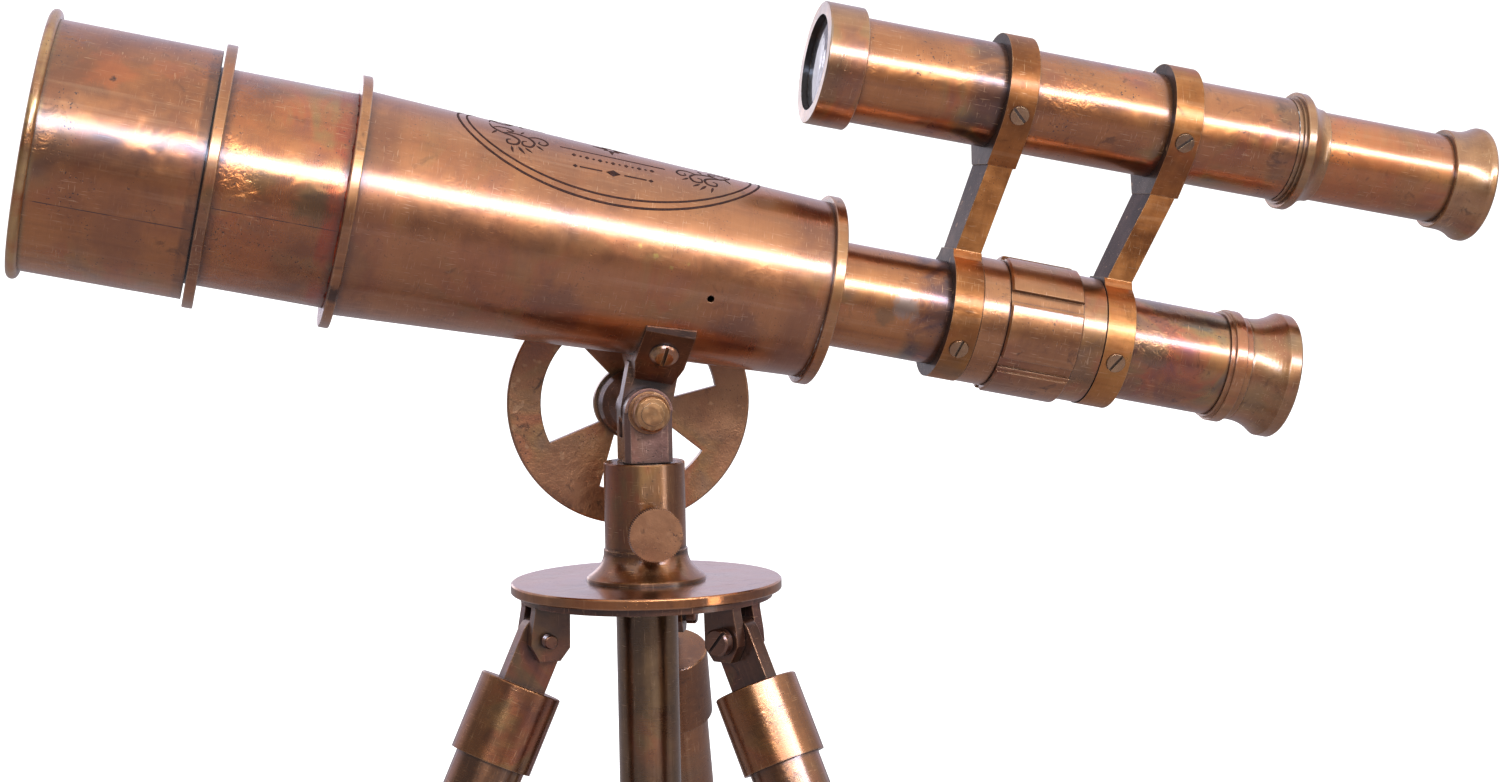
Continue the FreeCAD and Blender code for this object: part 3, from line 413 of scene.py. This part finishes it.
lf = wnode("ShaderNodeMath", {0: wnode("ShaderNodeMath", {0: left, 1: front}, operation="MULTIPLY").outputs[0], 1: low}, operation="MULTIPLY").outputs[0]
wmix = wnode("ShaderNodeMix", {0: lf, 6: wmix, 7: (0.055, 0.045, 0.045, 1)}, data_type="RGBA").outputs[2]
cam_ray = wnode("ShaderNodeLightPath").outputs["Is Camera Ray"]
wcol = wnode("ShaderNodeMix", {0: cam_ray, 6: wmix, 7: (1.0, 1.0, 1.0, 1)}, data_type="RGBA").outputs[2]
bg = wnode("ShaderNodeBackground", {0: wcol, 1: 1.0})
wo = wnode("ShaderNodeOutputWorld")
wt.links.new(bg.outputs[0], wo.inputs[0])


def area(name, loc, target, sx, sy, watts, color=(1, 1, 1)):
    d = bpy.data.lights.new(name, "AREA")
    d.shape = "RECTANGLE"
    d.size, d.size_y = sx, sy
    d.energy, d.color = watts, color
    o = bpy.data.objects.new(name, d)
    scene.collection.objects.link(o)
    o.location = loc
    z = (Vector(loc) - Vector(target)).normalized()
    x = Vector((0, 0, 1)).cross(z)
    x = x.normalized() if x.length > 1e-4 else Vector((1, 0, 0))
    y = z.cross(x)
    o.matrix_world = Matrix.Translation(loc) @ Matrix((x, y, z)).transposed().to_4x4()
    o.visible_camera = False
    return o


def watts(radiance, sx, sy):
    return radiance * math.pi * sx * sy


# one long strip box in front and above, a card at the front right and one at the back left
area("key_strip", (0.26, -1.45, 1.17), (-0.02, 0, 0.52), 2.0, 0.27, watts(8.4, 2.0, 0.29), (0.80, 0.93, 1.26))
area("card_right", (1.25, -1.15, 0.55), (0.0, 0, 0.45), 0.34, 0.9, watts(2.2, 0.34, 0.9), (1.0, 0.98, 0.96))
area("card_back_left", (-0.50, 2.0, 0.72), (0, 0, 0.6), 0.8, 0.42, watts(0.7, 0.8, 0.42), (0.98, 0.98, 1.0))

cam_d = bpy.data.cameras.new("camera")
cam_d.sensor_width, cam_d.lens = 36.0, 64.8
cam_d.clip_start, cam_d.clip_end = 0.02, 60.0
cam = bpy.data.objects.new("camera", cam_d)
scene.collection.objects.link(cam)
a, e, ro = rad(-11.2), rad(4.5), rad(1.0)
bk = Vector((math.sin(a) * math.cos(e), -math.cos(a) * math.cos(e), math.sin(e)))
rt = Vector((math.cos(a), math.sin(a), 0.0))
up = bk.cross(rt)
R = rt * math.cos(ro) - up * math.sin(ro)
U = up * math.cos(ro) + rt * math.sin(ro)
cam.matrix_world = Matrix.Translation(COL + Vector((-0.149456, -0.952869, 0.143003))) @ Matrix((R, U, bk)).transposed().to_4x4()
scene.camera = cam
scene.view_settings.view_transform = "Standard"
scene.view_settings.exposure = 0.36
scene.view_settings.gamma = 0.86

# ------------------------------------------------------------------ finishes of the CAD nodes
RED = srgb(176, 74, 34)
DARKZ = srgb(70, 42, 34)
ORANGE = srgb(214, 116, 52)


def use(node, mat):
    o = NODES[node]
    o.data.materials.clear()
    o.data.materials.append(mat)


use("dew_cap", patina("dew_cap_patina", F_MAIN, P_TUBE, 0.28, dents=2.6, pits=1.0, stain=0.8, tarnish=0.4,
                      zones=[(-0.2145, -0.2098, srgb(206, 168, 108), 0.9), (-0.1585, -0.1552, DARKZ, 0.5)],
                      bore=(0.0422, 0.0426), seam=(rad(-25.5), -0.209, -0.156),
                      spots=[(-0.190, rad(42), 0.0445, 0.0085, ORANGE, 0.4), (-0.1889, rad(36.5), 0.0445, 0.0015, srgb(36, 20, 16), 0.95),
                             (-0.172, rad(48), 0.0445, 0.0060, ORANGE, 0.3), (-0.180, rad(-40), 0.0445, 0.014, srgb(124, 80, 66), 0.28)]))
use("objective_tube", patina("objective_tube_patina", F_MAIN, P_TUBE, 0.20, dents=2.6, pits=0.8, stain=0.6, tarnish=0.6,
                             zones=[(-0.1135, -0.1085, RED, 0.75), (-0.150, -0.128, ORANGE, 0.25)], bore=(0.0365, 0.0369),
                             seam=(rad(-15.9), -0.152, -0.107),
                             spots=[(-0.118, rad(-5), 0.038, 0.007, srgb(118, 100, 58), 0.55), (-0.136, rad(4), 0.038, 0.005, srgb(150, 120, 62), 0.45),
                                    (-0.130, rad(46), 0.038, 0.007, ORANGE, 0.35)]))
use("stop_ring", patina("stop_ring_patina", F_MAIN, P_RING, 0.26, dents=0.5, pits=0.4, stain=0.4))
use("front_flange", patina("front_flange_patina", F_MAIN, P_RING, 0.27, dents=0.5, pits=0.6, stain=0.5,
                           spots=[(-0.106, rad(-46), 0.044, 0.0045, srgb(58, 36, 30), 0.8)]))
use("body_tube", patina("body_tube_patina", F_MAIN, P_BODY, 0.27, dents=0.75, pits=0.35, stain=0.35, tarnish=0.28,
                        zones=[(0.050, 0.064, srgb(130, 78, 56), 0.45), (-0.105, -0.094, srgb(130, 80, 56), 0.45)], bore=(0.0300, 0.0304), brush=1.3,
                        spots=[(0.000, rad(2), 0.035, 0.0010, srgb(206, 176, 92), 0.8), (0.006, rad(-3), 0.035, 0.0008, srgb(206, 176, 92), 0.8),
                               (-0.006, rad(6), 0.035, 0.0008, srgb(200, 168, 90), 0.8), (0.012, rad(1), 0.035, 0.0009, srgb(206, 176, 92), 0.7),
                               (-0.030, rad(-42), 0.036, 0.013, srgb(122, 84, 76), 0.5), (0.034, rad(-40), 0.034, 0.011, srgb(118, 80, 70), 0.5)]))
use("rear_flange", patina("rear_flange_patina", F_MAIN, P_RING, 0.27, dents=0.5, pits=0.5, stain=0.5))
# the pale grey spot near the middle height is a rubbed, polished patch whose grey tone is a painted reflection
use("draw_tube", patina("draw_tube_patina", F_MAIN, P_TUBE, 0.26, dents=1.9, pits=0.8, stain=0.7, tarnish=0.95,
                        zones=[(0.100, 0.1115, srgb(88, 56, 62), 0.8), (0.180, 0.200, srgb(126, 76, 70), 0.5), (0.205, 0.220, srgb(92, 60, 64), 0.6)],
                        bore=(0.0178, 0.0182),
                        spots=[(0.095, rad(2), 0.019, 0.0050, srgb(168, 156, 146), 0.7), (0.088, rad(-14), 0.019, 0.004, srgb(120, 100, 66), 0.5),
                               (0.190, rad(-6), 0.019, 0.005, srgb(128, 108, 78), 0.5)]))
use("focus_barrel", patina("focus_barrel_patina", F_MAIN, P_RING, 0.27, dents=0.6, pits=0.5, stain=0.5, bore=(0.0192, 0.0196)))
use("focus_ring", patina("focus_ring_patina", F_MAIN, P_RING, 0.28, dents=0.6, pits=0.6, stain=0.7, tarnish=0.5))
# both brackets: painted shade on the faces turned towards the objective end
use("front_bracket", patina("front_bracket_patina", F_MAIN, P_RING, 0.29, grain="along", coat=0.25, bev_r=0.0005, dents=0.8, pits=0.7, stain=0.6, tarnish=0.4, cast=0.12,
                            shaded_facings=[((-math.cos(TILT), 0, math.sin(TILT)), srgb(50, 36, 30), 0.95)]))
use("rear_bracket", patina("rear_bracket_patina", F_MAIN, P_RING, 0.29, grain="along", coat=0.25, bev_r=0.0005, dents=0.8, pits=0.7, stain=0.6, tarnish=0.4, cast=0.12,
                            shaded_facings=[((-math.cos(TILT), 0, math.sin(TILT)), srgb(50, 36, 30), 0.95)]))
use("bracket_screws", patina("bracket_screw_brass", F_MAIN, P_SCREW, 0.18, grain="along", bev_r=0.0003, dents=0.3, pits=0.6, stain=0.5))
use("eye_end_ring", patina("eye_end_ring_patina", F_MAIN, P_RING, 0.25, dents=0.3, pits=0.3, stain=0.4))
use("eyecup", patina("eyecup_patina", F_MAIN, P_YELL, 0.28, dents=0.3, pits=0.3, stain=0.5, tarnish=0.5))
use("objective_cell", patina("objective_cell_patina", F_MAIN, P_DARK, 0.30, bore=(0.0364, 0.0366)))
use("objective_retaining_ring", patina("objective_retaining_ring_patina", F_MAIN, P_YELL, 0.28))
use("erector_carrier", patina("erector_carrier_patina", F_MAIN, P_DARK, 0.4))
# the pale grey band on the bezel's front face is a painted reflection of the pale backdrop
use("finder_bezel", patina("finder_bezel_patina", F_FIND, P_YELL, 0.27, dents=0.6, pits=0.5, stain=0.4, tarnish=0.4,
                           zones=[(0.0655, 0.0667, srgb(150, 132, 118), 0.75)], bore=(0.01745, 0.01755)))
use("finder_tube", patina("finder_tube_patina", F_FIND, P_TUBE, 0.27, dents=1.9, pits=0.9, stain=0.7, tarnish=0.95,
                          zones=[(0.122, 0.134, srgb(92, 58, 52), 0.7), (0.238, 0.247, srgb(104, 70, 52), 0.5)], bore=(0.0179, 0.0183)))
use("finder_end_collar", patina("finder_end_collar_patina", F_FIND, P_YELL, 0.26, dents=0.3, pits=0.4, stain=0.6))
use("finder_draw_tube", patina("finder_draw_tube_patina", F_FIND, P_TUBE, 0.27, dents=0.7, pits=0.7, stain=0.5, tarnish=0.5,
                               zones=[(0.262, 0.285, ORANGE, 0.4)], bore=(0.0154, 0.0157)))
use("finder_eyecup", patina("finder_eyecup_patina", F_FIND, P_YELL, 0.29, dents=0.3, pits=0.4, stain=0.6, tarnish=0.5))

use("saddle", patina("saddle_casting", F_MAIN, P_OXIDE, 0.33, grain="none", dents=0.8, pits=0.5, stain=0.6, cast=0.35))
use("saddle_screws", patina("saddle_screw_brass", F_MAIN, P_YELL, 0.22, grain="none", dents=0.2, pits=0.4, stain=0.5))
# painted shade on the yoke's two sides and its front-left face
use("yoke", patina("yoke_casting", F_COL, P_PINK, 0.34, grain="none", dents=0.6, pits=0.8, stain=0.7, cast=0.5,
                   shaded_facings=[((-1, 0, 0), srgb(84, 58, 50), 0.8), ((1, 0, 0), srgb(96, 66, 54), 0.7), ((-0.7, -0.7, 0), srgb(92, 64, 54), 0.6)]))
use("pivot_bolt", patina("pivot_bolt_brass", F_BOLT, P_YELL, 0.25, bev_r=0.0004, dents=0.2, pits=0.4, stain=0.4))
use("pivot_washer", patina("pivot_washer_brass", F_BOLT, P_RING, 0.28))
use("wheel_cap_nut", patina("wheel_cap_nut_brass", F_BOLT, P_YELL, 0.26))
use("wheel_hub", patina("wheel_hub_casting", F_BOLT, P_OXIDE, 0.33, dents=0.4, cast=0.3))
use("hand_wheel", patina("hand_wheel_casting", F_BOLT, P_WHEEL, 0.34, grain="none", dents=1.2, pits=0.9, stain=0.8, tarnish=0.4, cast=0.55))
use("stem", patina("stem_brass", F_COL, P_DARK, 0.25))
use("pedestal", patina("pedestal_patina", F_COL, P_LEG, 0.27, aniso=0.93, dents=0.4, pits=0.5, stain=0.5, tarnish=0.4,
                       zones=[(0.0098, 0.0122, srgb(52, 32, 26), 0.9)]))
use("clamp_screw", patina("clamp_screw_brass", F_BOLT, P_WHEEL, 0.36, bev_r=0.00015, grain="none", dents=0.3, pits=0.7, stain=0.6, cast=0.35))
use("tripod_plate", patina("tripod_plate_patina", F_COL, P_TUBE, 0.07, aniso=0.0, dents=0.5, pits=0.8, stain=0.6, tarnish=0.4))
use("leg_crown", patina("leg_crown_casting", F_COL, P_OXIDE, 0.34, grain="none", dents=0.5, pits=0.7, stain=0.7, cast=0.4))
use("centre_column", patina("centre_column_patina", F_COL, P_OLIVE, 0.24, aniso=0.85, dents=0.5, pits=0.5, stain=0.5, tarnish=0.5))
use("crown_screws", patina("crown_screw_brass", F_COL, P_SCREW, 0.28, grain="none"))
use("hinge_bolts", patina("hinge_bolt_brass", F_COL, P_DARK, 0.24, grain="none", bev_r=0.0004))
for nm in LEGS:
    use("leg_tongue_" + nm, patina("leg_tongue_casting_" + nm, F_LEG[nm], P_OXIDE, 0.30, grain="along", dents=0.8, pits=0.8, stain=0.6, cast=0.25, edge=0.95))
    use("leg_ferrule_" + nm, patina("leg_ferrule_patina_" + nm, F_LEG[nm], P_LEG, 0.19, aniso=0.45, dents=0.7, pits=0.8, stain=0.6, tarnish=0.6,
                                                  coat=0.8))
    use("leg_tube_" + nm, patina("leg_tube_patina_" + nm, F_LEG[nm], P_LEG, 0.20, aniso=0.45, dents=0.8, pits=0.8, stain=0.6, tarnish=0.6))
    use("leg_lock_ring_" + nm, patina("leg_lock_ring_patina_" + nm, F_LEG[nm], P_YELL, 0.3, dents=0.3, pits=0.5, stain=0.5))
    use("leg_lower_" + nm, patina("leg_lower_patina_" + nm, F_LEG[nm], P_BODY, 0.25, dents=0.6, pits=0.5, stain=0.4, tarnish=0.4))

for n in ("objective_crown_lens", "objective_flint_lens", "erector_lenses", "eyepiece_lenses", "finder_eye_lens"):
    use(n, glass(n + "_glass"))
use("finder_objective_lens", glass("finder_objective_lens_glass", (0.95, 0.95, 0.98), 0.06))


# ------------------------------------------------------------------ thin pieces that lie on the tubes
def piece(name, bm, mat, body, smooth=True):
    bmesh.ops.recalc_face_normals(bm, faces=bm.faces)
    me = bpy.data.meshes.new(name)
    bm.to_mesh(me)
    bm.free()
    if smooth:
        for f in me.polygons:
            f.use_smooth = True
    me.materials.append(mat)
    o = bpy.data.objects.new(name, me)
    scene.collection.objects.link(o)
    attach(o, body)
    return o


def ribbon(bm, pts, width, place, closed=False, h=0.00005, d=0.00012, flat_ends=False):
    """A closed thin strip along pts = [(s, v)], v being arc length round the tube. width is a number or a function of 0..1."""
    n = len(pts)
    P = [Vector(p).to_2d() for p in pts]
    rows = []
    for i in range(n):
        if closed:
            a_, b_ = P[(i - 1) % n], P[(i + 1) % n]
        else:
            a_, b_ = P[max(0, i - 1)], P[min(n - 1, i + 1)]
        t = (b_ - a_)
        t = t.normalized() if t.length > 1e-9 else Vector((1, 0))
        nn = Vector((-t.y, t.x))
        w = (width(i / (n - 1)) if callable(width) else width) / 2
        l, r = P[i] + nn * w, P[i] - nn * w
        rows.append((bm.verts.new(place(l.x, l.y, -d)), bm.verts.new(place(l.x, l.y, h)), bm.verts.new(place(r.x, r.y, h)), bm.verts.new(place(r.x, r.y, -d))))
    for i in range(n if closed else n - 1):
        A, B = rows[i], rows[(i + 1) % n]
        for k in range(4):
            bm.faces.new((A[k], A[(k + 1) % 4], B[(k + 1) % 4], B[k]))
    if not closed:
        bm.faces.new(rows[0])
        bm.faces.new(rows[-1][::-1])


def patch(bm, outline, place, h=0.00005, d=0.00012):
    """A closed thin plate with a convex outline given as (s, v) points."""
    c = sum((Vector(p).to_2d() for p in outline), Vector((0, 0))) / len(outline)
    top = [bm.verts.new(place(p[0], p[1], h)) for p in outline]
    bot = [bm.verts.new(place(p[0], p[1], -d)) for p in outline]
    ct, cb_ = bm.verts.new(place(c.x, c.y, h)), bm.verts.new(place(c.x, c.y, -d))
    n = len(outline)
    for i in range(n):
        j = (i + 1) % n
        bm.faces.new((top[i], top[j], ct))
        bm.faces.new((bot[j], bot[i], cb_))
        bm.faces.new((top[i], bot[i], bot[j], top[j]))


def body_place(s, v, h):
    r = main_r(s)
    return on_main(s, v / r, r + h)


OV_S, OV_V = -0.0182, 0.0492            # middle of the oval: along the tube, and round it from the near side


def ellipse(a_, b_, n=220):
    return [(OV_S + a_ * math.cos(2 * math.pi * i / n), OV_V + b_ * math.sin(2 * math.pi * i / n)) for i in range(n)]


def spiral(cx, cy, r0, r1, a0, a1, n=46):
    out = []
    for i in range(n + 1):
        u = i / n
        r = r0 * (r1 / r0) ** u
        an = a0 + (a1 - a0) * u
        out.append((cx + r * math.cos(an), cy + r * math.sin(an)))
    return out


def smooth_line(ctrl, per=12):
    """Catmull-Rom line through the control points."""
    P = [Vector(p).to_2d() for p in ctrl]
    P = [P[0] * 2 - P[1]] + P + [P[-1] * 2 - P[-2]]
    out = []
    for i in range(1, len(P) - 2):
        for k in range(per):
            t = k / per
            p0, p1, p2, p3 = P[i - 1], P[i], P[i + 1], P[i + 2]
            q = 0.5 * ((2 * p1) + (p2 - p0) * t + (2 * p0 - 5 * p1 + 4 * p2 - p3) * t * t + (3 * p1 - p0 - 3 * p2 + p3) * t ** 3)
            out.append((q.x, q.y))
    out.append((P[-2].x, P[-2].y))
    return out


engrave = engraving("engraved_line_filler")
bm = bmesh.new()
ribbon(bm, ellipse(0.0552, 0.0327), 0.00085, body_place, closed=True)
ribbon(bm, ellipse(0.0520, 0.0297), 0.00075, body_place, closed=True)
piece("engraved_oval_lines", bm, engrave, "telescope")

# four generic scrolls of curls and leaves inside the oval, mirrored about its two axes
swell = lambda w: (lambda u: w * (0.35 + 0.65 * math.sin(math.pi * min(1, max(0, u))) ** 0.7))
bm = bmesh.new()
for mx in (-1, 1):
    for my in (-1, 1):
        def T(pts, mx=mx, my=my):
            return [(OV_S + mx * x * MM, OV_V + my * y * MM) for x, y in pts]
        # long stem with a curl at each end
        ribbon(bm, T(smooth_line([(44, -1.2), (43.0, -4.6), (39.6, -7.4), (36.0, -8.6), (33.6, -11.0), (34.6, -13.8), (37.4, -14.0), (38.0, -12.0), (36.6, -11.2)])), swell(0.00085), body_place)
        ribbon(bm, T(smooth_line([(39.6, -7.4), (35.0, -6.2), (30.6, -7.6), (28.2, -10.6), (29.4, -13.6), (32.2, -13.4), (32.4, -11.2), (30.9, -10.6)])), swell(0.0008), body_place)
        ribbon(bm, T(smooth_line([(30.6, -7.6), (27.4, -6.0), (24.6, -6.8), (23.4, -9.2), (24.8, -11.0), (26.6, -10.2), (26.2, -8.8)])), swell(0.0007), body_place)
        ribbon(bm, T(smooth_line([(43.0, -4.6), (40.6, -2.6), (37.4, -2.4), (35.6, -4.0), (36.6, -5.4), (38.0, -4.8)])), swell(0.0007), body_place)
        # leaves
        for (x0, y0, x1, y1, w) in ((34.0, -15.0, 31.4, -18.4, 1.0), (31.6, -14.8, 28.8, -17.0, 0.8), (27.6, -12.0, 25.0, -14.2, 0.8),
                                    (36.4, -15.2, 35.6, -18.8, 0.9), (41.4, -6.6, 43.4, -9.6, 0.9), (33.0, -5.6, 31.6, -2.8, 0.8)):
            dx, dy = x1 - x0, y1 - y0
            L = math.hypot(dx, dy)
            nx, ny = -dy / L, dx / L
            patch(bm, T([(x0, y0), (x0 + dx * .35 + nx * w / 2, y0 + dy * .35 + ny * w / 2), (x0 + dx * .7 + nx * w / 3, y0 + dy * .7 + ny * w / 3), (x1, y1),
                         (x0 + dx * .7 - nx * w / 3, y0 + dy * .7 - ny * w / 3), (x0 + dx * .35 - nx * w / 2, y0 + dy * .35 - ny * w / 2)]), body_place)
piece("engraved_scrolls", bm, engrave, "telescope")

# middle ornament with no lettering: a plain eight-point star, rules with lozenges and rows of dots
bm = bmesh.new()


def lozenge(x, y, a_, b_):
    patch(bm, [(OV_S + (x + a_) * MM, OV_V + y * MM), (OV_S + x * MM, OV_V + (y + b_) * MM), (OV_S + (x - a_) * MM, OV_V + y * MM), (OV_S + x * MM, OV_V + (y - b_) * MM)], body_place)


for sg in (-1, 1):
    y0 = sg * 19.0
    ribbon(bm, [(OV_S + x * MM, OV_V + y0 * MM) for x in [-12 + k * 0.8 for k in range(11)]], 0.0006, body_place)
    ribbon(bm, [(OV_S + x * MM, OV_V + y0 * MM) for x in [4 + k * 0.8 for k in range(11)]], 0.0006, body_place)
    lozenge(0, y0, 2.6, 1.6)
    for x in (-13.6, 13.6):
        lozenge(x, y0, 0.9, 0.8)
    y1 = sg * 13.2
    for k in range(-6, 7):
        lozenge(k * 2.35, y1 + sg * -0.012 * k * k, 0.55 if k % 2 else 0.85, 0.55 if k % 2 else 0.95)
    ribbon(bm, [(OV_S + x * MM, OV_V + sg * (9.0 + 0.0 * x) * MM) for x in [-19 + k * 0.95 for k in range(41)]], 0.00045, body_place)
for k in range(8):
    an = math.pi / 4 * k
    L, wd_ = (6.6, 1.15) if k % 2 == 0 else (4.0, 0.8)
    c_, s_ = math.cos(an), math.sin(an)
    patch(bm, [(OV_S + (1.3 * c_) * MM, OV_V + (1.3 * s_) * MM), (OV_S + (2.3 * c_ - wd_ * s_) * MM, OV_V + (2.3 * s_ + wd_ * c_) * MM),
               (OV_S + L * c_ * MM, OV_V + L * s_ * MM), (OV_S + (2.3 * c_ + wd_ * s_) * MM, OV_V + (2.3 * s_ - wd_ * c_) * MM)], body_place)
piece("engraved_star_and_rules", bm, engrave, "telescope")


# solder and flux in the joints: an uneven bead that follows the corner
def bead(name, s, r, phi0, phi1, size, mat, body, place, seed, gaps=0.0, step=0.004):
    rnd = random.Random(seed)
    bm = bmesh.new()
    n = max(8, int(abs(phi1 - phi0) / step / 1.0))
    k = 8
    rows = []
    for i in range(n + 1):
        u = i / n
        phi = phi0 + (phi1 - phi0) * u
        w = size * (0.55 + 0.9 * noise.noise(Vector((phi * 9.0, seed, 0.3))) + 0.35 * noise.noise(Vector((phi * 47.0, seed, 1.7))))
        w *= min(1.0, 8 * u, 8 * (1 - u))
        w = max(w, size * 0.06)
        rows.append([bm.verts.new(place(s + w * math.cos(2 * math.pi * j / k) * 0.9, phi, r + w * math.sin(2 * math.pi * j / k) * 0.75)) for j in range(k)])
    for i in range(n):
        for j in range(k):
            bm.faces.new((rows[i][j], rows[i][(j + 1) % k], rows[i + 1][(j + 1) % k], rows[i + 1][j]))
    bm.faces.new(rows[0])
    bm.faces.new(rows[-1][::-1])
    return piece(name, bm, mat, body)


SOLDER, FLUX = solder_mat("soft_solder"), flux_mat("flux_scale")
bead("solder_rear_flange", 0.0634, main_r(0.0634), rad(-14), rad(-96), 0.00042, SOLDER, "telescope", on_main, 3)
bead("flux_front_flange", -0.1076, 0.03785, rad(96), rad(-86), 0.00050, FLUX, "telescope", on_main, 5)
bead("solder_finder_collar", 0.2460, 0.0191, rad(52), rad(12), 0.00045, SOLDER, "draw", on_find, 8)
bead("solder_body_front", -0.1039, main_r(-0.1039), rad(-30), rad(-80), 0.00025, FLUX, "telescope", on_main, 11)
